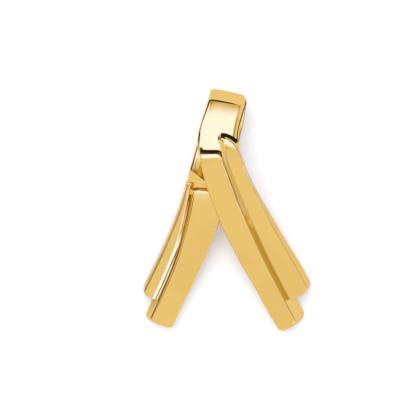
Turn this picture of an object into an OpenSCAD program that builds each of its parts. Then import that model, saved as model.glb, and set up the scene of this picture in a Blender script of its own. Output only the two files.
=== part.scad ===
// Slide pendant: one ribbon of gold, folded over into a bail, with two legs
// that flare apart below it. The front leg crosses over the back leg, and each
// leg carries a wide and a narrow raised bar with a groove between them.
// X runs across, Y from the tips up to the bail and Z up from the back, on
// which the pendant lies. Sizes are in millimetres.

/* [Overall size] */
// Length from the lowest tip to the top of the bail
slide_len = 21; // [18:0.5:25]
// Width across the two tips
slide_w = 14.4; // [13:0.2:17]
// Depth from the back of the bail to the front of the bars
slide_depth = 6.1; // [5.4:0.1:7.2]

/* [Bail] */
// Width of the band that is folded over into the bail
band_w = 3.4; // [2.8:0.1:4]
// Thickness of the band
band_t = 0.75; // [0.55:0.05:1]
// Radius that the band's long edges are rolled to
band_roll = 0.22; // [0.1:0.02:0.26]
// Width of the bevel along the band's right edge
bevel_w = 0.4; // [0.2:0.05:0.6]
// Depth of that bevel at the edge
bevel_d = 0.3; // [0.1:0.05:0.3]

/* [Legs] */
// Width of the front leg at its tip, square to its length
front_leg_w = 4.4; // [3.8:0.1:5]
// Width of the back leg, square to its length
back_leg_w = 3.75; // [3.2:0.05:4.4]
// Thickness of a leg, from its back to the face of its bars
leg_t = 1.45; // [1.2:0.05:1.8]
// How far each leg's outer edge is turned up at its tip, in degrees
leg_twist = 6; // [0:1:10]

/* [Bars] */
// Height of the raised bars above the band
bar_rise = 0.42; // [0.25:0.01:0.5]
// Width of the groove between the bars, near the tips
groove_w = 0.5; // [0.3:0.05:0.7]
// Depth of the groove
groove_d = 0.35; // [0.2:0.05:0.5]
// Width of the softened edge round each bar's face
bar_edge = 0.08; // [0.04:0.02:0.14]
// How far the front wide bar's wall spreads, from the groove down to the back
front_foot = 0.88; // [0.6:0.02:1.2]
// How far the back wide bar's wall spreads, from the groove down to the back
back_foot = 0.4; // [0.2:0.02:0.7]
// Radius of a wide bar's corners at its tip
tip_r = 0.42; // [0.3:0.02:0.54]
// How much sooner the front leg's narrow bar ends than its wide bar
front_step = 1.95; // [1.2:0.05:4]
// How much sooner the back leg's narrow bar ends than its wide bar
back_step = 1.8; // [1.2:0.05:4]

/* [Hidden] */

// The tables of sections. Lengths in them are shares of the named sizes.

// The band from the front leg's root over the top to the back leg's root.
// Columns: middle across of slide_w, middle along of slide_len, outer face of
// the band's own depth, width of band_w, slant of the section in degrees
MID = 0;
LONG = 1;
HIGH = 2;
BROAD = 3;
LEAN = 4;
band = [
    [0.478, 0.665, 0.886, 0.80, 8],
    [0.456, 0.712, 0.985, 0.93, 3],
    [0.448, 0.752, 1.000, 1.02, 0],
    [0.448, 0.800, 0.984, 1.00, -3],
    [0.462, 0.850, 0.943, 0.97, -6],
    [0.482, 0.895, 0.889, 0.95, -8],
    [0.4985, 0.9320, 0.8315, 0.95, -9],
    [0.4998, 0.9350, 0.8262, 0.95, -9],
    [0.5014, 0.9385, 0.8161, 0.95, -10],
    [0.512, 0.964, 0.643, 0.95, -11],
    [0.517, 0.980, 0.531, 0.95, -12],
    [0.520, 0.986, 0.425, 0.95, -12],
    [0.518, 0.976, 0.255, 0.95, -12],
    [0.512, 0.950, 0.106, 0.95, -12],
    [0.503, 0.915, 0.027, 0.96, -12],
    [0.490, 0.870, 0.000, 0.98, -12],
    [0.465, 0.810, 0.000, 1.00, -12],
    [0.447, 0.755, 0.013, 1.05, -11],
    [0.428, 0.700, 0.074, 1.08, -10],
    [0.405, 0.645, 0.159, 1.08, -9],
    [0.390, 0.600, 0.238, 1.05, -9],
    [0.376, 0.555, 0.287, 1.00, -11],
    [0.362, 0.515, 0.303, 0.95, -14],
];

// The legs, from the tip up, along the foot of the outer wall.
// Columns: along of slide_len, outer edge across of slide_w, face of
// slide_depth, slant in degrees, twist of leg_twist, then from the outer edge
// inwards as shares of the leg's width: wall seen from the front, middle of
// the groove and inner edge, and last the groove's width of groove_w and its
// depth of groove_d
AT = 0;
EDGE = 1;
FACE = 2;
SLANT = 3;
TWIST = 4;
WALL = 5;
GROOVE = 6;
INNER = 7;
GAP = 8;
DEEP = 9;
front_leg = [
    [0.000, 1.160, 0.285, 22, 1.0, 0.080, 0.550, 0.985, 1.00, 1.00],
    [0.137, 1.046, 0.352, 23, 1.0, 0.080, 0.544, 0.989, 1.00, 1.00],
    [0.263, 0.947, 0.425, 25, 0.8, 0.078, 0.533, 0.995, 0.98, 1.00],
    [0.342, 0.878, 0.478, 25, 0.5, 0.075, 0.499, 0.991, 0.98, 1.00],
    [0.420, 0.813, 0.534, 24, 0.3, 0.070, 0.465, 0.977, 0.98, 1.00],
    [0.495, 0.749, 0.612, 22, 0.1, 0.055, 0.424, 0.948, 0.95, 0.93],
    [0.569, 0.685, 0.715, 19, 0.0, 0.030, 0.376, 0.891, 0.90, 0.74],
    [0.643, 0.630, 0.850, 15, 0.0, 0.015, 0.345, 0.852, 0.86, 0.55],
    [0.697, 0.597, 0.950, 10, 0.0, 0.015, 0.332, 0.811, 0.86, 0.45],
    [0.745, 0.576, 0.994, 3, 0.0, 0.015, 0.318, 0.770, 0.86, 0.45],
    [0.785, 0.569, 1.000, 0, 0.0, 0.015, 0.345, 0.750, 0.86, 0.45],
    [0.820, 0.566, 1.000, 0, 0.0, 0.015, 0.380, 0.750, 0.86, 0.45],
];
back_leg = [
    [0.000, -0.120, 0.252, -19, 0.6, 0.022, 0.352, 0.990, 1.14, 0.63],
    [0.081, -0.059, 0.272, -20, 0.6, 0.022, 0.352, 0.990, 1.14, 0.63],
    [0.198, 0.019, 0.316, -21, 0.6, 0.022, 0.353, 0.995, 1.14, 0.63],
    [0.258, 0.061, 0.347, -21, 0.5, 0.022, 0.340, 1.000, 1.14, 0.63],
    [0.337, 0.115, 0.390, -20, 0.3, 0.022, 0.313, 1.000, 0.98, 0.63],
    [0.414, 0.162, 0.446, -18, 0.1, 0.022, 0.273, 1.000, 0.78, 0.63],
    [0.491, 0.205, 0.496, -16, 0.0, 0.028, 0.216, 1.000, 0.76, 0.63],
    [0.549, 0.233, 0.520, -13, 0.0, 0.028, 0.183, 0.995, 0.66, 0.63],
    [0.594, 0.253, 0.532, -8, 0.0, 0.028, 0.164, 1.000, 0.60, 0.63],
    [0.660, 0.283, 0.556, -8, 0.0, 0.028, 0.160, 1.000, 0.60, 0.63],
];

// How the bars end. The rows are the wide bar's tip and root, then the narrow
// bar's tip and root.
// Columns: middle of the end along slide_len, slant in degrees, radii of the
// outer and the inner corner of tip_r, then of bar_rise the length of the
// slope down and of the low crown before it
MIDDLE = 0;
SLANTED = 1;
OUTER_R = 2;
INNER_R = 3;
SLOPE = 4;
CROWN = 5;
front_ends = [
    [0.071, 21, 2.20, 1.10, 0.15, 0.00],
    [0.7345, 2, 1.20, 0.20, 1.00, 1.00],
    [0.073 + front_step / slide_len, 17, 2.20, 0.20, 0.15, 0.00],
    [0.7835, -23, 2.20, 1.20, 1.00, 0.80],
];
back_ends = [
    [0.066, -20, 1.20, 1.10, 0.15, 0.00],
    [0.592, -4, 1.00, 0.20, 0.60, 0.40],
    [0.066 + back_step / slide_len, -34, 0.90, 0.20, 0.15, 0.00],
    [0.612, -20, 0.40, 0.40, 0.30, 0.15],
];

// The back leg's plain shoulder above its bars, from and to shares of slide_len,
// and how much its upper end is slanted against the leg's section, in degrees
SHOULDER_LOW = 0.585;
SHOULDER_HIGH = 0.622;
SHOULDER_SLANT = -28;

leg_steps = 15; // sections along each bar
band_steps = 3; // sections between two rows of the band's table
corner_steps = 4; // points round each corner of a bar's end
tiny = 0.001;
grain = 0.001; // all points of the strips lie on this grid
overlap = 0.05; // how far each link of a strip reaches into the one before
narrow_lift = 0.06; // how much thinner a leg is under its narrow bar
shoulder_in = 0.05; // how far the shoulder stays inside the leg's outline
past = 1.25; // how much further than needed slopes and grooves reach, to end inside the metal
step_deep = past * max(bar_rise, groove_d); // reach of the slopes at the bars' ends
crown_fall = 0.24; // fall of a crown to its length
link_core = 0.7; // size of the part of a section that a link reaches back with
roll_cut = 0.3; // share of a rolled edge's radius that its middle lies in
back_cut = 0.5; // the same at the band's inner edges

// Row whose stretch holds the place t, in a table that is sorted by its first column
function row_at(rows, t, i = 0) =
    i >= len(rows) - 2 || t < rows[i + 1][0] ? i : row_at(rows, t, i + 1);

// Rise of column c at row i, from the rows on both sides
function rise(rows, c, i) =
    let (a = max(i - 1, 0), b = min(i + 1, len(rows) - 1))
    (rows[b][c] - rows[a][c]) / (rows[b][0] - rows[a][0]);

// Cubic through p and q with the slopes m and n, at the share f between them
function cubic(p, q, m, n, f) =
    p * (2 * f * f * f - 3 * f * f + 1) + m * (f * f * f - 2 * f * f + f)
    + q * (3 * f * f - 2 * f * f * f) + n * (f * f * f - f * f);

// Column c at the place t, on a smooth curve through the rows
function smooth(rows, c, t) =
    let (i = row_at(rows, t), h = rows[i + 1][0] - rows[i][0])
    cubic(rows[i][c], rows[i + 1][c], rise(rows, c, i) * h, rise(rows, c, i + 1) * h,
        (t - rows[i][0]) / h);

function unit(v) = v / norm(v);

// Direction across a section that is slanted in plan and tilted up
function across(slant, tilt) = [cos(slant) * cos(tilt), sin(slant) * cos(tilt), sin(tilt)];

// A leg is [its table, its width, the side on which its outer edge lies, how far
// its wide bar's wall spreads from the groove down to the back].

function spine(leg, t) = [
    (smooth(leg[0], EDGE, t) - 0.5) * slide_w,
    (t - 0.5) * slide_len,
    smooth(leg[0], FACE, t) * slide_depth,
];

function measure(leg, column, t) = smooth(leg[0], column, t) * leg[1];

function groove_half(leg, t) = smooth(leg[0], GAP, t) * groove_w / 2;

// Points beside the place t, of which each is [in from the outer edge, up from
// the face, ahead along the leg]
function beside(leg, t, spots) =
    let (u = across(smooth(leg[0], SLANT, t), leg[2] * smooth(leg[0], TWIST, t) * leg_twist),
        n = unit(cross(u, spine(leg, t + tiny) - spine(leg, t - tiny))),
        forward = cross(n, u))
    [for (s = spots) spine(leg, t) - leg[2] * s[0] * u + s[1] * n + s[2] * forward];

// A bar's section at t as [outer wall, inner wall], each from the face down.
// Edge of the wide bar's face along the groove, from the leg's outer edge
function wide_near(leg, t) = measure(leg, GROOVE, t) + groove_half(leg, t);

function wide_walls(leg, t) =
    let (near = wide_near(leg, t), far = measure(leg, INNER, t))
    [[[near + bar_edge, 0], [near, -bar_edge], [near - leg[3] * step_deep / leg_t, -step_deep],
        [near - leg[3], -leg_t]],
     [[far - bar_edge, 0], [far, -bar_edge], [far, -step_deep], [far, -leg_t]]];

// The narrow bar's inner wall meets the wide bar's at the groove's depth, and
// goes on a little inside that bar
function narrow_walls(leg, t) =
    let (near = measure(leg, WALL, t),
        far = measure(leg, GROOVE, t) - groove_half(leg, t),
        thick = leg_t - narrow_lift,
        deep = smooth(leg[0], DEEP, t) * groove_d,
        floor_in = wide_near(leg, t) - leg[3] * deep / leg_t,
        foot = far + (floor_in - far) * past)
    [[[near + bar_edge, 0], [near, -bar_edge], [near * (1 - step_deep / thick), -step_deep],
        [0, -thick]],
     [[far - bar_edge, 0], [far, -bar_edge], [foot, -past * deep], [foot, -thick]]];

function walls(wide, leg, t) = wide ? wide_walls(leg, t) : narrow_walls(leg, t);

// Section of a bar's body at t
function section(wide, leg, t) =
    beside(leg, t, [for (wall = walls(wide, leg, t)) for (p = wall) [p[0], p[1], 0]]);

// Turn of an end against the leg's own section, seen outwards along the leg
function end_turn(leg, end, way) =
    -way * leg[2] * (end[SLANTED] - smooth(leg[0], SLANT, end[MIDDLE]));

// Place where the body stops and the shape of an end starts
function end_start(wide, leg, end, way) =
    let (w = walls(wide, leg, end[MIDDLE]), half = (w[1][0][0] - w[0][0][0]) / 2,
        reach = half * abs(tan(end_turn(leg, end, way))) + tip_r * max(end[OUTER_R], end[INNER_R]))
    end[MIDDLE] - way * (reach + 2 * bar_edge) / slide_len;

// Points round both corners of an end, at each level of the walls
function end_spots(wide, leg, end, way) =
    let (w = walls(wide, leg, end[MIDDLE]), mid = (w[1][0][0] + w[0][0][0]) / 2,
        turn = end_turn(leg, end, way))
    [for (side = [0, 1]) for (k = [0:3])
        let (p = w[side][k],
            r = tip_r * end[side == 0 ? OUTER_R : INNER_R],
            in_r = (1 - 2 * side) * r,
            x = p[0] + in_r,
            slope = end[SLOPE] * bar_rise * (k < 2 ? 0 : min(-p[1] / step_deep, 1)),
            crown = end[CROWN] * bar_rise,
            y = (w[side][1][0] + in_r - mid) * tan(turn) - r / cos(turn) + slope
                - (k == 0 ? max(bar_edge, crown) : 0),
            z = k == 1 ? p[1] - crown * crown_fall : p[1],
            from = side == 0 ? 180 : 0)
        for (i = [0:corner_steps])
            let (angle = from + (90 + turn - from) * i / corner_steps)
            [x + r * cos(angle), z, way * (y + r * sin(angle))]];

function middle(ring) = [for (i = [0:2]) [for (p = ring) p[i]] * [for (p = ring) 1]] / len(ring);

// Solid from a section to the next points, which reaches a little back too
module link(a, b) {
    back = unit(middle(a) - middle(b)) * overlap;
    inside = [for (p = a) middle(a) + link_core * (p - middle(a)) + back];
    points = [for (p = concat(inside, a, b)) [for (c = p) round(c / grain) * grain]];
    hull()
        polyhedron(points = points, faces = [[for (i = [0:len(points) - 1]) i]]);
}

module chain(rings)
    for (i = [0:len(rings) - 2]) link(rings[i], rings[i + 1]);

// A bar with the whole thickness of the leg under it, between its tip and root
module bar(wide, leg, tip, root) {
    from = end_start(wide, leg, tip, -1);
    to = end_start(wide, leg, root, 1);
    chain([for (i = [0:leg_steps]) section(wide, leg, from + (to - from) * i / leg_steps)]);
    link(section(wide, leg, from), beside(leg, tip[MIDDLE], end_spots(wide, leg, tip, -1)));
    link(section(wide, leg, to), beside(leg, root[MIDDLE], end_spots(wide, leg, root, 1)));
}

// The band's table as points and directions of its outer face
function band_mid(i) = [
    (band[i][MID] - 0.5) * slide_w,
    (band[i][LONG] - 0.5) * slide_len,
    band[i][HIGH] * (slide_depth - bar_rise),
];
function band_step(i) = band_mid(i + 1) - band_mid(i);
function band_way(i) =
    i == 0 ? unit(band_step(0)) : i == len(band) - 1 ? unit(band_step(i - 1))
    : unit(unit(band_step(i)) * norm(band_step(i - 1)) + unit(band_step(i - 1)) * norm(band_step(i)));
function band_point(i, f) =
    cubic(band_mid(i), band_mid(i + 1), band_way(i) * norm(band_step(i)),
        band_way(i + 1) * norm(band_step(i)), f);
function band_value(i, f, c) = band[i][c] * (1 - f) + band[i + 1][c] * f;

// Section of the band at the point p of its outer face, with rolled edges and
// the bevel on its right
function band_ring(p, way, w, slant) =
    let (u = across(slant, 0), n = unit(cross(u, way)), r = band_roll, t = band_t,
        cut = r * roll_cut, inner = r * back_cut)
    [for (c = [[-w / 2, -t / 2], [-w / 2, -r], [-w / 2 + cut, -cut], [-w / 2 + r, 0],
            [w / 2 - bevel_w, 0], [w / 2 - cut, -bevel_d], [w / 2, -bevel_d - cut],
            [w / 2 - inner, -t], [-w / 2 + inner, -t]])
        p + c[0] * u + c[1] * n];

module band_loop()
    chain([for (i = [0:len(band) - 2])
        for (j = [0:i == len(band) - 2 ? band_steps : band_steps - 1])
            let (f = j / band_steps)
            band_ring(band_point(i, f), band_point(i, f + tiny) - band_point(i, f - tiny),
                band_value(i, f, BROAD) * band_w, band_value(i, f, LEAN))]);

// The shoulder, level with the foot of the bars
module shoulder(leg) {
    left = shoulder_in;
    right = back_leg_w - shoulder_in;
    low_face = -leg_t + 2 * shoulder_in;
    flat = [[left, low_face, 0], [left, -bar_rise, 0], [right, -bar_rise, 0], [right, low_face, 0]];
    slanted = [for (s = flat) [s[0], s[1], (s[0] - back_leg_w / 2) * tan(SHOULDER_SLANT)]];
    link(beside(leg, SHOULDER_LOW, flat), beside(leg, SHOULDER_HIGH, slanted));
}

module front_leg_bars() {
    leg = [front_leg, front_leg_w, 1, front_foot];
    bar(true, leg, front_ends[0], front_ends[1]);
    bar(false, leg, front_ends[2], front_ends[3]);
}

module back_leg_bars() {
    leg = [back_leg, back_leg_w, -1, back_foot];
    bar(true, leg, back_ends[0], back_ends[1]);
    bar(false, leg, back_ends[2], back_ends[3]);
    shoulder(leg);
}

module slide() {
    color("gold")
        difference() {
            union() {
                band_loop();
                front_leg_bars();
                back_leg_bars();
            }
            // Flat spots where the back rests
            translate([-slide_w, -slide_len, -slide_depth])
                cube([2 * slide_w, 2 * slide_len, slide_depth]);
        }
}

slide();
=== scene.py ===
import math

import bmesh
import bpy
import numpy as np
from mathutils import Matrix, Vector


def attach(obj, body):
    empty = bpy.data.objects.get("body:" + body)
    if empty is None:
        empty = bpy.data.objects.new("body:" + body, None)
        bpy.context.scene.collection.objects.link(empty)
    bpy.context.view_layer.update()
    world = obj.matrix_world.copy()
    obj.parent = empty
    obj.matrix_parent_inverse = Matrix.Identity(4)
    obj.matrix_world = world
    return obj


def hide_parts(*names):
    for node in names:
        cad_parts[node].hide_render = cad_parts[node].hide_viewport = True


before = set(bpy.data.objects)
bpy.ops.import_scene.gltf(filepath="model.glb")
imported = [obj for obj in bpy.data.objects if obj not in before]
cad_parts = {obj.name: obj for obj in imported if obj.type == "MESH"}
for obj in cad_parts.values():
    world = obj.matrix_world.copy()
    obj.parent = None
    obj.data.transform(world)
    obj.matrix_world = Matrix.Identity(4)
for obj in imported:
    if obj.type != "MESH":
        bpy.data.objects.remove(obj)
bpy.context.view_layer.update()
mm = 0.001
nudge = 0.001  # share of a curve over which its direction is read
mergeWithin = 1e-7  # metres between points that become one

slideSize = {
    "length": 21.0,  # tips to the top of the bail
    "width": 14.4,  # across the two tips
    "depth": 6.1,  # back of the bail to the front of the bars
    "barRise": 0.42,  # bars above the band
    "sharpFrom": 28,  # degrees between two faces from which their edge stays sharp
}


# Smooth curves through the rows of a table, and other small helpers

def cubic(p, q, m, n, f):
    return (p * (2 * f**3 - 3 * f**2 + 1) + m * (f**3 - 2 * f**2 + f)
            + q * (3 * f**2 - 2 * f**3) + n * (f**3 - f**2))


def smoothAt(rows, column, t):
    i = 0
    while i < len(rows) - 2 and t >= rows[i + 1][0]:
        i += 1

    def rise(k):
        a, b = max(k - 1, 0), min(k + 1, len(rows) - 1)
        return (rows[b][column] - rows[a][column]) / (rows[b][0] - rows[a][0])

    low, high = rows[i], rows[i + 1]
    h = high[0] - low[0]
    return cubic(low[column], high[column], rise(i) * h, rise(i + 1) * h, (t - low[0]) / h)


def acrossWay(slant, tilt=0.0):
    a, b = math.radians(slant), math.radians(tilt)
    return np.array([math.cos(a) * math.cos(b), math.sin(a) * math.cos(b), math.sin(b)])


def smoothStep(x):
    x = np.clip(x, 0, 1)
    return x * x * (3 - 2 * x)


def unit(v):
    return v / np.linalg.norm(v)


def plainMesh(name, points, faces):
    mesh = bpy.data.meshes.new(name)
    mesh.from_pydata([tuple(p) for p in points], [], faces)
    bm = bmesh.new()
    bm.from_mesh(mesh)
    bmesh.ops.remove_doubles(bm, verts=bm.verts, dist=mergeWithin)
    bmesh.ops.recalc_face_normals(bm, faces=bm.faces)
    bm.to_mesh(mesh)
    bm.free()
    thing = bpy.data.objects.new(name, mesh)
    bpy.context.scene.collection.objects.link(thing)
    return thing


# Short ways to add a node, and a math node that is fed by sockets or by plain numbers

def nodeTools(tree):
    def add(kind, **settings):
        node = tree.nodes.new(kind)
        for key, value in settings.items():
            setattr(node, key, value)
        return node

    def calc(operation, *values):
        node = add("ShaderNodeMath", operation=operation)
        for k, value in enumerate(values):
            if isinstance(value, (int, float)):
                node.inputs[k].default_value = value
            else:
                tree.links.new(value, node.inputs[k])
        return node.outputs[0]

    return add, tree.links.new, calc


# The band that is folded over into the bail

band = {
    "width": 3.4,
    "thickness": 0.75,
    "squareness": 4.2,  # how square the section is, 2 is an ellipse
    "bevel": 0.30,  # drop of the outer face at its right edge
    "bevelStart": 0.76,  # share of the half width where that drop starts
    "stations": 8,  # between two rows
    "around": 72,  # points round a section
    "tube": 0.3,  # radius of the plain tube whose points are moved into those sections
    # middle across, middle along, outer face as a share of the band's depth, width, slant in degrees
    "rows": [
        (0.478, 0.665, 0.886, 0.80, 8),
        (0.456, 0.712, 0.985, 0.93, 3),
        (0.448, 0.752, 1.000, 1.02, 0),
        (0.448, 0.800, 0.984, 1.00, -3),
        (0.462, 0.850, 0.943, 0.97, -6),
        (0.482, 0.895, 0.889, 0.95, -8),
        (0.4985, 0.9320, 0.8315, 0.95, -9),
        (0.4998, 0.9350, 0.8262, 0.95, -9),
        (0.5014, 0.9385, 0.8161, 0.95, -10),
        (0.512, 0.964, 0.643, 0.95, -11),
        (0.517, 0.980, 0.531, 0.95, -12),
        (0.520, 0.986, 0.425, 0.95, -12),
        (0.518, 0.976, 0.255, 0.95, -12),
        (0.512, 0.950, 0.106, 0.95, -12),
        (0.503, 0.915, 0.027, 0.96, -12),
        (0.490, 0.870, 0.000, 0.98, -12),
        (0.465, 0.810, 0.000, 1.00, -12),
        (0.447, 0.755, 0.013, 1.05, -11),
        (0.428, 0.700, 0.074, 1.08, -10),
        (0.405, 0.645, 0.159, 1.08, -9),
        (0.390, 0.600, 0.238, 1.05, -9),
        (0.376, 0.555, 0.287, 1.00, -11),
        (0.362, 0.515, 0.303, 0.95, -14),
    ],
}


def bandStations():
    rows = band["rows"]
    size = np.array([slideSize["width"], slideSize["length"], slideSize["depth"] - slideSize["barRise"]])
    mids = [np.array([across - 0.5, along - 0.5, face]) * size for across, along, face, *_ in rows]
    steps = [b - a for a, b in zip(mids, mids[1:])]
    longs = [np.linalg.norm(s) for s in steps]
    ways = []
    for i in range(len(mids)):
        if i == 0:
            ways.append(unit(steps[0]))
        elif i == len(mids) - 1:
            ways.append(unit(steps[-1]))
        else:
            ways.append(unit(unit(steps[i]) * longs[i - 1] + unit(steps[i - 1]) * longs[i]))

    def middle(i, f):
        return cubic(mids[i], mids[i + 1], ways[i] * longs[i], ways[i + 1] * longs[i], f)

    found = []
    for i in range(len(steps)):
        last = i == len(steps) - 1
        for j in range(band["stations"] + (1 if last else 0)):
            f = j / band["stations"]
            way = middle(i, f + nudge) - middle(i, f - nudge)
            wide, slant = (rows[i][k] * (1 - f) + rows[i + 1][k] * f for k in (3, 4))
            across = acrossWay(slant)
            found.append((middle(i, f), across, unit(np.cross(across, way)), wide * band["width"]))
    return found


def ribbonTree():
    tree = bpy.data.node_groups.new("ribbonSections", "GeometryNodeTree")
    tree.interface.new_socket("Geometry", in_out="INPUT", socket_type="NodeSocketGeometry")
    sockets = {}
    for key, label, kind in (
        ("around", "Points Around", "NodeSocketInt"),
        ("thickness", "Thickness", "NodeSocketFloat"),
        ("squareness", "Squareness", "NodeSocketFloat"),
        ("bevel", "Bevel", "NodeSocketFloat"),
        ("bevelStart", "Bevel Start", "NodeSocketFloat"),
        ("material", "Material", "NodeSocketMaterial"),
    ):
        sockets[key] = tree.interface.new_socket(label, in_out="INPUT", socket_type=kind)
    tree.interface.new_socket("Geometry", in_out="OUTPUT", socket_type="NodeSocketGeometry")
    add, join, calc = nodeTools(tree)

    def scaled(vector, factor):
        node = add("ShaderNodeVectorMath", operation="SCALE")
        join(vector, node.inputs[0])
        join(factor, node.inputs["Scale"])
        return node.outputs[0]

    def plus(a, b):
        node = add("ShaderNodeVectorMath", operation="ADD")
        join(a, node.inputs[0])
        join(b, node.inputs[1])
        return node.outputs[0]

    def named(name, kind):
        node = add("GeometryNodeInputNamedAttribute", data_type=kind)
        node.inputs["Name"].default_value = name
        return node.outputs[0]

    given = add("NodeGroupInput").outputs
    toCurve = add("GeometryNodeMeshToCurve")
    join(given["Geometry"], toCurve.inputs[0])
    circle = add("GeometryNodeCurvePrimitiveCircle", mode="RADIUS")
    join(given["Points Around"], circle.inputs["Resolution"])
    circle.inputs["Radius"].default_value = band["tube"] * mm
    tube = add("GeometryNodeCurveToMesh")
    join(toCurve.outputs[0], tube.inputs["Curve"])
    join(circle.outputs[0], tube.inputs["Profile Curve"])
    tube.inputs["Fill Caps"].default_value = True
    # each point's angle round its own section
    spot = calc("MODULO", add("GeometryNodeInputIndex").outputs[0], given["Points Around"])
    angle = calc("MULTIPLY", calc("DIVIDE", spot, given["Points Around"]), 2 * math.pi)
    power = calc("DIVIDE", 2.0, given["Squareness"])

    def rounded(wave):
        return calc("MULTIPLY", calc("SIGN", wave), calc("POWER", calc("ABSOLUTE", wave), power))

    side = rounded(calc("COSINE", angle))
    up = rounded(calc("SINE", angle))
    sideways = calc("MULTIPLY", side, calc("MULTIPLY", named("wide", "FLOAT"), 0.5))
    beyond = calc("DIVIDE", calc("MAXIMUM", calc("SUBTRACT", side, given["Bevel Start"]), 0.0),
                  calc("SUBTRACT", 1.0, given["Bevel Start"]))
    drop = calc("MULTIPLY", calc("MULTIPLY", beyond, given["Bevel"]), calc("GREATER_THAN", up, 0.0))
    below = calc("MULTIPLY", calc("SUBTRACT", up, 1.0), calc("MULTIPLY", given["Thickness"], 0.5))
    outwards = calc("SUBTRACT", below, drop)
    place = plus(named("middle", "FLOAT_VECTOR"),
                 plus(scaled(named("across", "FLOAT_VECTOR"), sideways),
                      scaled(named("facing", "FLOAT_VECTOR"), outwards)))
    move = add("GeometryNodeSetPosition")
    join(tube.outputs[0], move.inputs["Geometry"])
    join(place, move.inputs["Position"])
    whole = add("GeometryNodeRealizeInstances")
    join(move.outputs[0], whole.inputs[0])
    finish = add("GeometryNodeSetMaterial")
    join(whole.outputs[0], finish.inputs["Geometry"])
    join(given["Material"], finish.inputs["Material"])
    join(finish.outputs[0], add("NodeGroupOutput").inputs[0])
    return tree, sockets


def makeBand(gold):
    stations = bandStations()
    path = bpy.data.meshes.new("bandPath")
    edges = [(i, i + 1) for i in range(len(stations) - 1)]
    path.from_pydata([tuple(s[0] * mm) for s in stations], edges, [])
    for name, kind, values in (
        ("middle", "FLOAT_VECTOR", [s[0] * mm for s in stations]),
        ("across", "FLOAT_VECTOR", [s[1] for s in stations]),
        ("facing", "FLOAT_VECTOR", [s[2] for s in stations]),
        ("wide", "FLOAT", [s[3] * mm for s in stations]),
    ):
        layer = path.attributes.new(name, kind, "POINT")
        layer.data.foreach_set("vector" if kind == "FLOAT_VECTOR" else "value",
                               np.array(values, np.float32).ravel())
    holder = bpy.data.objects.new("bandPath", path)
    bpy.context.scene.collection.objects.link(holder)
    tree, sockets = ribbonTree()
    ribbon = holder.modifiers.new("ribbon", "NODES")
    ribbon.node_group = tree
    settings = {**band, "thickness": band["thickness"] * mm, "bevel": band["bevel"] * mm, "material": gold}
    for key, socket in sockets.items():
        ribbon[socket.identifier] = settings[key]
    made = bpy.data.meshes.new_from_object(holder.evaluated_get(bpy.context.evaluated_depsgraph_get()))
    holder.modifiers.remove(ribbon)
    bpy.data.objects.remove(holder)
    points = np.array([v.co[:] for v in made.vertices])
    faces = [tuple(f.vertices) for f in made.polygons]
    print("band:", len(points), "points")
    return plainMesh("band", points, faces)


# The legs

legSize = {
    "thickness": 1.45,
    "twist": 6.0,  # degrees that the outer edge is turned up where a row's share of it is one
    "grooveWidth": 0.5,
    "grooveBelow": 1.25,  # how far down the groove's other wall leans, in depths of the groove
    "hollowTo": 0.98,  # share of the groove's depth where its hollow stops
    "edge": 0.10,  # rounding of the bars' long edges on the leg's inner side
    "crownTurn": 24.0,  # degrees that a crown, the first and wider rounding of a bar's end, turns through
    "crownLoops": 4,  # over that turn
    "edgeLoops": 5,  # over the rest of the rounding
    "crownReach": 1.3,  # length of bar that a crown draws in
    "endDeep": 0.52,  # depth of the slopes at the ends of the bars
    "endLevels": (0.16, 0.26, 0.37, 0.48, 0.60, 0.72, 0.86, 1.0),  # loops down those slopes, as shares
    # an edge counts as the bar's end from this much of its direction along the bar, over this span
    "endFacing": (0.1, 0.6),
    # across a root, its slope turns to run along the bar from this share on, over this span, by this share
    "farCorner": (0.5, 0.3, 0.7),
    "narrowLift": 0.06,  # back of a narrow bar above the other's
    "step": 0.09,  # between two sections
    "leastDrop": 0.002,  # between two loops
    "endPoints": 41,  # across the end of a bar
    "places": 800,  # along a leg, where its frame is worked out
}

# In a leg's rows: along, outer edge and face as shares of the pendant's length, width and depth, slant in
# degrees, share of the twist, then how far in from the outer edge the top of the outer wall, the middle of
# the groove and the inner edge are, as shares of the leg's width, and the groove's width as a share
legColumns = ("along", "outer", "face", "slant", "twist", "wall", "groove", "inner", "grooveWidth")

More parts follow.
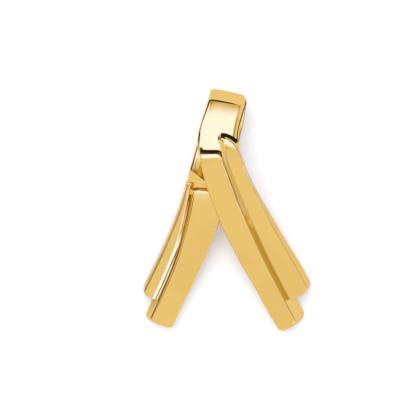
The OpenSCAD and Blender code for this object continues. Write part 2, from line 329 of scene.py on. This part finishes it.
frontLeg = {
    "width": 4.4,
    "side": 1,
    "foot": 0.88,  # spread of the wide bar's wall beside the groove, from the face to the back
    "grooveDepth": 0.35,
    "nearEdge": 0.10,  # rounding of each bar's long edge on the leg's outer side
    "shallower": (0.45, 0.53, 0.42),  # the groove loses depth between these places, down to this share
    "hollow": (0.0, 1.0),  # how hollow the groove's other wall is, before and after those places
    "rows": [
        (0.000, 1.160, 0.285, 22, 1.0, 0.080, 0.550, 0.985, 1.00),
        (0.137, 1.046, 0.352, 23, 1.0, 0.080, 0.544, 0.989, 1.00),
        (0.263, 0.947, 0.425, 25, 0.8, 0.078, 0.533, 0.995, 0.98),
        (0.342, 0.878, 0.478, 25, 0.5, 0.075, 0.499, 0.991, 0.98),
        (0.420, 0.813, 0.534, 24, 0.3, 0.070, 0.465, 0.977, 0.98),
        (0.495, 0.749, 0.612, 22, 0.1, 0.055, 0.424, 0.948, 0.95),
        (0.569, 0.685, 0.715, 19, 0.0, 0.030, 0.376, 0.891, 0.90),
        (0.643, 0.630, 0.850, 15, 0.0, 0.015, 0.345, 0.852, 0.86),
        (0.697, 0.597, 0.950, 10, 0.0, 0.015, 0.332, 0.811, 0.86),
        (0.745, 0.576, 0.994, 3, 0.0, 0.015, 0.318, 0.770, 0.86),
        (0.785, 0.569, 1.000, 0, 0.0, 0.015, 0.345, 0.750, 0.86),
        (0.820, 0.566, 1.000, 0, 0.0, 0.015, 0.380, 0.750, 0.86),
    ],
    # for each bar's tip and root: middle of the end along, slant, outer and inner corner as
    # (across, along), the rounding of the edge there, how steep the end is in degrees, and its crown
    "wide": [(0.071, 21, (0.85, 0.85), (0.46, 0.46), 0.10, 84, 0.10),
             (0.7345, 2, (0.55, 0.50), (0.12, 0.12), 0.12, 48, 0.90)],
    "narrow": [(0.166, 17, (0.85, 0.85), (0.12, 0.12), 0.10, 84, 0.10),
               (0.7835, -23, (0.85, 0.95), (0.50, 0.55), 0.12, 40, 0.70)],
}
backLeg = {
    "width": 3.75,
    "side": -1,
    "foot": 0.4,
    "grooveDepth": 0.22,
    "nearEdge": 0.20,
    "shallower": (0.3, 0.6, 1.0),
    "hollow": (1.0, 1.0),
    "rows": [
        (0.000, -0.120, 0.252, -19, 0.6, 0.022, 0.352, 0.990, 1.14),
        (0.081, -0.059, 0.272, -20, 0.6, 0.022, 0.352, 0.990, 1.14),
        (0.198, 0.019, 0.316, -21, 0.6, 0.022, 0.353, 0.995, 1.14),
        (0.258, 0.061, 0.347, -21, 0.5, 0.022, 0.340, 1.000, 1.14),
        (0.337, 0.115, 0.390, -20, 0.3, 0.022, 0.313, 1.000, 0.98),
        (0.414, 0.162, 0.446, -18, 0.1, 0.022, 0.273, 1.000, 0.78),
        (0.491, 0.205, 0.496, -16, 0.0, 0.028, 0.216, 1.000, 0.76),
        (0.549, 0.233, 0.520, -13, 0.0, 0.028, 0.183, 0.995, 0.66),
        (0.594, 0.253, 0.532, -8, 0.0, 0.028, 0.164, 1.000, 0.60),
        (0.660, 0.283, 0.556, -8, 0.0, 0.028, 0.160, 1.000, 0.60),
    ],
    "wide": [(0.066, -20, (0.50, 0.50), (0.46, 0.46), 0.10, 84, 0.10),
             (0.592, -4, (0.42, 0.42), (0.12, 0.12), 0.10, 62, 0.30)],
    "narrow": [(0.152, -34, (0.38, 0.38), (0.12, 0.12), 0.08, 84, 0.08),
               (0.612, -20, (0.18, 0.18), (0.18, 0.18), 0.06, 74, 0.10)],
}


def legFrame(leg):
    # where each section of a leg is, by its distance along the outer edge
    rows = leg["rows"]
    places = np.linspace(rows[0][0], rows[-1][0], legSize["places"])

    def read(name, t):
        return smoothAt(rows, legColumns.index(name), t)

    def spine(t):
        return np.array([(read("outer", t) - 0.5) * slideSize["width"], (t - 0.5) * slideSize["length"],
                         read("face", t) * slideSize["depth"]])

    points, inwards, faces, values = [], [], [], []
    for t in places:
        u = acrossWay(read("slant", t), leg["side"] * read("twist", t) * legSize["twist"])
        points.append(spine(t))
        inwards.append(-leg["side"] * u)
        faces.append(unit(np.cross(u, spine(t + nudge) - spine(t - nudge))))
        wall, groove, inner = (read(name, t) * leg["width"] for name in ("wall", "groove", "inner"))
        half = read("grooveWidth", t) * legSize["grooveWidth"] / 2
        values.append((read("slant", t), wall, groove - half, groove + half, inner))
    points = np.array(points)
    gone = np.concatenate([[0], np.cumsum(np.linalg.norm(np.diff(points, axis=0), axis=1))])
    found = dict(zip(("slant", "wall", "grooveOuter", "grooveInner", "inner"), np.array(values).T))
    found.update(t=places, s=gone, points=points, inwards=np.array(inwards), faces=np.array(faces))
    return found


def onLeg(found, s, c, h):
    def read(table):
        return np.stack([np.interp(s, found["s"], table[:, k]) for k in range(3)], axis=-1)
    return read(found["points"]) + c[:, None] * read(found["inwards"]) + h[:, None] * read(found["faces"])


def barOutline(leg, found, ends, near, far):
    # near side from tip to root, root end, far side, tip end: along the leg, and as a share across the bar
    sides, shapes = [], []
    for way, (place, slant, outer, inner) in zip((-1, 1), (end[:4] for end in ends)):
        s = np.interp(place, found["t"], found["s"])
        turn = -leg["side"] * (slant - np.interp(s, found["s"], found["slant"]))
        a, b = near(s), far(s)
        f = (1 - np.cos(np.linspace(0, math.pi, legSize["endPoints"]))) / 2
        c = a + (b - a) * f
        line = s + (c - (a + b) / 2) * math.tan(math.radians(turn))
        for edge, (wideR, longR) in ((c - a, outer), (b - c, inner)):
            x = np.clip(1 - edge / wideR, 0, 1)
            line = line - way * longR * (1 - np.sqrt(1 - x * x))
        shapes.append((line, f))
        sides.append((line[0], line[-1]))
    count = int((sides[1][0] - sides[0][0]) / legSize["step"])
    g = np.linspace(0, 1, count + 1)[1:-1]
    nearS = sides[0][0] + (sides[1][0] - sides[0][0]) * g
    farS = sides[0][1] + (sides[1][1] - sides[0][1]) * g
    s = np.concatenate([nearS, shapes[1][0], farS[::-1], shapes[0][0][::-1]])
    f = np.concatenate([0 * nearS, shapes[1][1], 0 * farS + 1, shapes[0][1][::-1]])
    return s, f, len(nearS)


def edgeProfile(radius, lean, thick, crown=None):
    # inset and depth of each loop, from the face down to the back
    first, whole = legSize["crownTurn"], math.degrees(lean)
    early, late = legSize["crownLoops"], legSize["edgeLoops"]
    turns = [first * k / early for k in range(1, early + 1)]
    turns += [first + (whole - first) * k / late for k in range(1, late + 1)]
    loops, turn = [(0.0, 0.0)], 0.0
    for target in turns:
        size = crown if crown and target <= first else radius
        a, b = math.radians(turn), math.radians(target)
        loops.append((loops[-1][0] - size * (math.sin(b) - math.sin(a)),
                      loops[-1][1] + size * (math.cos(a) - math.cos(b))))
        turn = target
    loops = [(inset - loops[-1][0], drop) for inset, drop in loops]
    for share in legSize["endLevels"]:
        drop = max(legSize["endDeep"] * share, loops[-1][1] + legSize["leastDrop"])
        loops.append((loops[-1][0] - (drop - loops[-1][1]) / math.tan(lean), drop))
    return np.array(loops + [(loops[-1][0], thick)])


def loftFaces(total, levels, nearCount):
    # rows of quads between the loops, then across the face and the back, as the loop folded at its ends
    faces = []
    for k in range(levels - 1):
        for i in range(total):
            j = (i + 1) % total
            faces.append((k * total + i, k * total + j, (k + 1) * total + j, (k + 1) * total + i))
    rootMid = nearCount + legSize["endPoints"] // 2
    tipMid = total - 1 - legSize["endPoints"] // 2
    upper = [(tipMid + 1 + i) % total for i in range((rootMid - tipMid - 1) % total)]
    lower = [(tipMid - 1 - i) % total for i in range((tipMid - rootMid - 1) % total)]
    for level in (0, levels - 1):
        o = level * total
        faces.append((o + tipMid, o + upper[0], o + lower[0]))
        for i in range(len(upper) - 1):
            faces.append((o + upper[i], o + upper[i + 1], o + lower[i + 1], o + lower[i]))
        faces.append((o + upper[-1], o + rootMid, o + lower[-1]))
    return faces


def makeBar(name, leg, found, wide):
    ends = leg["wide" if wide else "narrow"]
    thick = legSize["thickness"] - (0 if wide else legSize["narrowLift"])

    def value(name, s):
        return np.interp(s, found["s"], found[name])

    # the bar's two walls at the face, and how far each has spread at a depth
    def near(s):
        return value("grooveInner" if wide else "wall", s)

    def far(s):
        return value("inner" if wide else "grooveOuter", s)

    def spreadNear(s, h):
        if wide:
            return leg["foot"] * -h / legSize["thickness"]
        return value("wall", s) * -h / thick

    def spreadFar(s, h):
        if wide:
            return 0.0 * s
        start, end, share = leg["shallower"]
        along = smoothStep((value("t", s) - start) / (end - start))
        deepest = leg["grooveDepth"] * (1 - (1 - share) * along)
        floorIn = value("grooveInner", s) - leg["foot"] * deepest / legSize["thickness"]
        down = np.minimum(-h / deepest, legSize["grooveBelow"])
        stop = legSize["hollowTo"]
        hollow = 1 - np.sqrt(1 - np.clip(down, 0, stop)) + np.clip(down - stop, 0, None)
        mix = leg["hollow"][0] * (1 - along) + leg["hollow"][1] * along
        return (floorIn - value("grooveOuter", s)) * (down * (1 - mix) + hollow * mix)

    s, f, nearCount = barOutline(leg, found, ends, near, far)
    c = near(s) * (1 - f) + far(s) * f
    # the way that each edge faces, along and across, and how much it counts as the root's or the tip's
    ds, dc = np.roll(s, -1) - np.roll(s, 1), np.roll(c, -1) - np.roll(c, 1)
    outS, outC = dc / np.hypot(ds, dc), -ds / np.hypot(ds, dc)
    if outS[np.argmax(s)] < 0:
        outS, outC = -outS, -outC
    begins, span = legSize["endFacing"]
    toRoot, toTip = (smoothStep((facing - begins) / span) for facing in (outS, -outS))
    begins, span, share = legSize["farCorner"]
    sideways = 1 - share * smoothStep((f - begins) / span) * toRoot
    drawn = smoothStep(1 - (np.max(s) - s) / legSize["crownReach"])
    upright = math.radians(90)
    edge, rounder = (edgeProfile(radius, upright, thick) for radius in (legSize["edge"], leg["nearEdge"]))
    tip, root = (edgeProfile(radius, math.radians(steep), thick, crown)
                 for *_, radius, steep, crown in ends)
    points = []
    for k in range(len(root)):
        # the root is drawn in along the bar, and all other edges square to themselves
        sideIn, sideDown = (rounder[k][n] + (edge[k][n] - rounder[k][n]) * f for n in (0, 1))
        drop = sideDown + (root[k][1] - sideDown) * toRoot + (tip[k][1] - sideDown) * toTip
        inset = sideIn * (1 - toRoot - toTip) + tip[k][0] * toTip + min(root[k][0], 0) * toRoot
        ls = s - inset * outS - max(root[k][0], 0) * drawn
        lc, h = c - inset * outC * sideways, -drop
        lc = lc - (1 - f) * spreadNear(s, h) + f * spreadFar(s, h)
        points.append(onLeg(found, ls, lc, h))
    faces = loftFaces(len(s), len(root), nearCount)
    return plainMesh(name, np.concatenate(points) * mm, faces)


# The plain shoulder between the back leg's bars and the band

shoulderSize = {
    "low": 0.585,  # along the leg, as in its rows
    "high": 0.622,
    "slant": -28,
    "inside": 0.05,  # within the leg's walls
    "raised": 0.1,  # above the leg's back
}


def makeShoulder(found):
    low, high = (np.interp(shoulderSize[k], found["t"], found["s"]) for k in ("low", "high"))
    e, w = shoulderSize["inside"], backLeg["width"]
    top, base = -slideSize["barRise"], shoulderSize["raised"] - legSize["thickness"]
    points = []
    for s, slanted in ((low, 0), (high, 1)):
        c = np.array([e, e, w - e, w - e])
        h = np.array([base, top, top, base])
        along = s + slanted * (c - w / 2) * math.tan(math.radians(shoulderSize["slant"]))
        points.append(onLeg(found, along, c, h))
    faces = [(0, 1, 2, 3), (4, 5, 6, 7)] + [(i, (i + 1) % 4, 4 + (i + 1) % 4, 4 + i) for i in range(4)]
    return plainMesh("shoulder", np.concatenate(points) * mm, faces)


def fuse(parts, name):
    # one body out of all the parts
    base = parts[0]
    for other in parts[1:]:
        step = base.modifiers.new("join", "BOOLEAN")
        step.operation = "UNION"
        step.solver = "MANIFOLD"
        step.object = other
    made = bpy.data.meshes.new_from_object(base.evaluated_get(bpy.context.evaluated_depsgraph_get()))
    base.modifiers.clear()
    for part in parts:
        bpy.data.objects.remove(part)
    piece = bpy.data.objects.new(name, made)
    bpy.context.scene.collection.objects.link(piece)
    return piece


# Gold

goldFinish = {
    "colour": (0.83, 0.55, 0.165),
    "edgeTint": (1.0, 0.84, 0.58),  # of what it reflects at a grazing angle
    "roughness": 0.10,
    "unevenness": 0.03,
    "shade": 0.015,  # share that the colour is darker and lighter
    "cloudScale": 900,
    "cloudDetail": 3,
}


def makeGold():
    gold = bpy.data.materials.new("polishedGold")
    gold.use_nodes = True
    add, join = nodeTools(gold.node_tree)[:2]
    shader = gold.node_tree.nodes["Principled BSDF"]
    shader.inputs["Metallic"].default_value = 1.0
    shader.inputs["Specular Tint"].default_value = (*goldFinish["edgeTint"], 1)
    clouds = add("ShaderNodeTexNoise")  # slow change in the polish
    clouds.inputs["Scale"].default_value = goldFinish["cloudScale"]
    clouds.inputs["Detail"].default_value = goldFinish["cloudDetail"]
    join(add("ShaderNodeTexCoord").outputs["Object"], clouds.inputs["Vector"])
    tone = add("ShaderNodeMix", data_type="RGBA")
    for socket, change in (("A", -goldFinish["shade"]), ("B", goldFinish["shade"])):
        tone.inputs[socket].default_value = (*[min(c * (1 + change), 1) for c in goldFinish["colour"]], 1)
    join(clouds.outputs["Fac"], tone.inputs["Factor"])
    join(tone.outputs["Result"], shader.inputs["Base Color"])
    rough = add("ShaderNodeMapRange")
    rough.inputs["To Min"].default_value = goldFinish["roughness"] - goldFinish["unevenness"]
    rough.inputs["To Max"].default_value = goldFinish["roughness"] + goldFinish["unevenness"]
    join(clouds.outputs["Fac"], rough.inputs["Value"])
    join(rough.outputs["Result"], shader.inputs["Roughness"])
    return gold


# The pendant, from its parts

gold = makeGold()
frontFound, backFound = legFrame(frontLeg), legFrame(backLeg)
parts = [
    makeBand(gold),
    makeBar("frontWide", frontLeg, frontFound, True),
    makeBar("frontNarrow", frontLeg, frontFound, False),
    makeBar("backWide", backLeg, backFound, True),
    makeBar("backNarrow", backLeg, backFound, False),
    makeShoulder(backFound),
]
print("parts made:", [len(p.data.polygons) for p in parts])
pendant = fuse(parts, "goldSlide")
for vertex in pendant.data.vertices:
    vertex.co.z = max(vertex.co.z, 0.0)  # rests flat where it touches
pendant.data.validate()
pendant.data.materials.clear()
pendant.data.materials.append(gold)
pendant.data.shade_smooth()
pendant.data.set_sharp_from_angle(angle=math.radians(slideSize["sharpFrom"]))
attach(pendant, "root")
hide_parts("slide")
print("pendant fused:", len(pendant.data.polygons), "faces")


# Floor

paperFinish = {
    "across": 3,  # metres
    "colour": (0.97, 0.97, 0.97),
    "roughness": 0.9,
    "glare": 0.18,  # how much lighter the paper is to the camera
}


def makeFloor():
    bpy.ops.mesh.primitive_plane_add(size=paperFinish["across"])
    floor = bpy.context.object
    floor.name = "floor"
    paper = bpy.data.materials.new("paper")
    paper.use_nodes = True
    add, join, calc = nodeTools(paper.node_tree)
    shader = paper.node_tree.nodes["Principled BSDF"]
    shader.inputs["Base Color"].default_value = (*paperFinish["colour"], 1)
    shader.inputs["Roughness"].default_value = paperFinish["roughness"]
    shader.inputs["Specular IOR Level"].default_value = 0.0
    shader.inputs["Emission Color"].default_value = (1, 1, 1, 1)
    seen = add("ShaderNodeLightPath").outputs["Is Camera Ray"]
    join(calc("MULTIPLY", seen, paperFinish["glare"]), shader.inputs["Emission Strength"])
    floor.data.materials.append(paper)
    return floor


floor = makeFloor()


# What the gold reflects: a room, a softbox overhead, and light and dark cards round the object

brightBlue = (1.22, 1.70, 4.3)  # looks white in the gold, which swallows blue
olive = (0.42, 0.34, 0.14)
nearBlack = (0.03, 0.02, 0.01)

studio = {
    "room": (1.0, 1.0, 1.0),
    "fill": (0.70, 0.74, 0.79),  # what lights the floor, and what the camera sees past it
    # where the softbox starts, is full, stops being full and ends, on a ceiling one metre up
    "softbox": {"x": (-0.90, -0.45, 0.30, 0.65), "y": (-0.16, 0.0, 0.78, 1.12), "colour": brightBlue},
    # all in degrees: direction seen from above, where the card is full and gone to its sides, then the
    # heights where it starts, is full, stops being full and ends
    "cards": [
        {"towards": 268, "sides": (10, 22), "heights": (58, 64, 70, 73), "colour": (0.96, 0.955, 0.94)},
        {"towards": 5, "sides": (22, 40), "heights": (-3, 4, 22, 34), "colour": olive},
        {"towards": 75, "sides": (50, 66), "heights": (-3, 0, 24, 34), "colour": (0.02, 0.015, 0.008)},
        {"towards": 75, "sides": (50, 66), "heights": (24, 34, 36, 43), "colour": (0.40, 0.33, 0.12)},
        {"towards": 180, "sides": (14, 24), "heights": (-3, 4, 22, 34), "colour": olive},
        {"towards": 157, "sides": (9, 16), "heights": (-3, 0, 44, 56), "colour": nearBlack},
        {"towards": 125, "sides": (13, 24), "heights": (30, 36, 50, 56), "colour": brightBlue},
        {"towards": 233, "sides": (16, 26), "heights": (32, 38, 52, 57), "colour": (0.80, 1.03, 1.45)},
        {"towards": 233, "sides": (22, 32), "heights": (0, 6, 32, 38), "colour": (0.78, 0.76, 0.66)},
        {"towards": 355, "sides": (12, 20), "heights": (33, 38, 52, 57), "colour": (0.72, 0.88, 1.10)},
        {"towards": 327, "sides": (13, 19), "heights": (4, 8, 46, 50), "colour": brightBlue},
        {"towards": 320, "sides": (13, 19), "heights": (33, 35.5, 40, 41.5), "colour": (0.12, 0.09, 0.04)},
        {"towards": 128, "sides": (12, 20), "heights": (4, 8, 24, 30), "colour": nearBlack},
        {"towards": 208, "sides": (22, 29), "heights": (53, 57, 74, 78), "colour": (0.10, 0.08, 0.04)},
    ],
    "overZero": 0.001,  # least height that the ceiling is read at
    "offAxis": 0.0001,  # least distance from straight up that a direction is read at
}


def makeStudio():
    world = bpy.data.worlds.new("studio")
    bpy.context.scene.world = world
    world.use_nodes = True
    world.node_tree.nodes.clear()
    add, join, calc = nodeTools(world.node_tree)

    def ramp(value, low, high):
        node = add("ShaderNodeMapRange", interpolation_type="SMOOTHSTEP")
        join(value, node.inputs["Value"])
        node.inputs["From Min"].default_value = low
        node.inputs["From Max"].default_value = high
        return node.outputs[0]

    def between(value, starts, whole, stops, ends):
        return calc("MULTIPLY", ramp(value, starts, whole), ramp(value, ends, stops))

    def blend(share, a, b):
        node = add("ShaderNodeMix", data_type="RGBA")
        join(share, node.inputs["Factor"])
        for value, socket in ((a, node.inputs["A"]), (b, node.inputs["B"])):
            if isinstance(value, tuple):
                socket.default_value = (*value, 1)
            else:
                join(value, socket)
        return node.outputs["Result"]

    x, y, z = add("ShaderNodeSeparateXYZ").outputs
    join(add("ShaderNodeTexCoord").outputs["Generated"], x.node.inputs[0])
    height = calc("MAXIMUM", z, studio["overZero"])
    right, ahead = calc("DIVIDE", x, height), calc("DIVIDE", y, height)
    softbox = studio["softbox"]
    share = calc("MULTIPLY", between(right, *softbox["x"]), between(ahead, *softbox["y"]))
    lit = blend(share, studio["room"], softbox["colour"])
    level = calc("SQRT", calc("ADD", calc("MULTIPLY", x, x), calc("MULTIPLY", y, y)))
    level = calc("MAXIMUM", level, studio["offAxis"])
    rising = calc("DEGREES", calc("ARCTAN2", z, level))
    for card in studio["cards"]:
        way = math.radians(card["towards"])
        toward = calc("ADD", calc("MULTIPLY", x, math.cos(way)), calc("MULTIPLY", y, math.sin(way)))
        toward = calc("MINIMUM", calc("MAXIMUM", calc("DIVIDE", toward, level), -1.0), 1.0)
        full, gone = card["sides"]
        aside = ramp(calc("DEGREES", calc("ARCCOSINE", toward)), gone, full)
        lit = blend(calc("MULTIPLY", between(rising, *card["heights"]), aside), lit, card["colour"])
    rays = add("ShaderNodeLightPath")
    plain = calc("MAXIMUM", rays.outputs["Is Diffuse Ray"], rays.outputs["Is Camera Ray"])
    background = add("ShaderNodeBackground")
    join(blend(plain, lit, studio["fill"]), background.inputs["Color"])
    join(background.outputs[0], add("ShaderNodeOutputWorld").inputs["Surface"])


makeStudio()
print("studio:", len(studio["cards"]), "cards")


# Lamp and camera

lampSize = {"place": (-0.09, 0.20, 0.56), "size": 0.42, "energy": 1.4}  # in metres and watts


def makeLamp():
    # gives the floor its soft shadow, and isn't reflected
    lamp = bpy.data.lights.new("sideLight", "AREA")
    lamp.size = lampSize["size"]
    lamp.energy = lampSize["energy"]
    holder = bpy.data.objects.new("sideLight", lamp)
    bpy.context.scene.collection.objects.link(holder)
    holder.location = lampSize["place"]
    holder.rotation_euler = Vector(lampSize["place"]).to_track_quat("Z", "Y").to_euler()
    holder.visible_glossy = False


makeLamp()

view = {
    "middle": (-2.27, 0.83),
    "across": 34.5,
    "front": 3.0,  # height above the floor at which the view is that wide
    "lens": 300,
    "sensor": 36,
    "nearest": 10,
}


def makeCamera():
    lens = bpy.data.cameras.new("camera")
    lens.lens = view["lens"]
    lens.sensor_width = view["sensor"]
    lens.clip_start = view["nearest"] * mm
    camera = bpy.data.objects.new("camera", lens)
    bpy.context.scene.collection.objects.link(camera)
    away = view["across"] * view["lens"] / view["sensor"] + view["front"]
    camera.location = (view["middle"][0] * mm, view["middle"][1] * mm, away * mm)
    bpy.context.scene.camera = camera


makeCamera()
bpy.context.scene.view_settings.view_transform = "Standard"
print("light and camera placed")
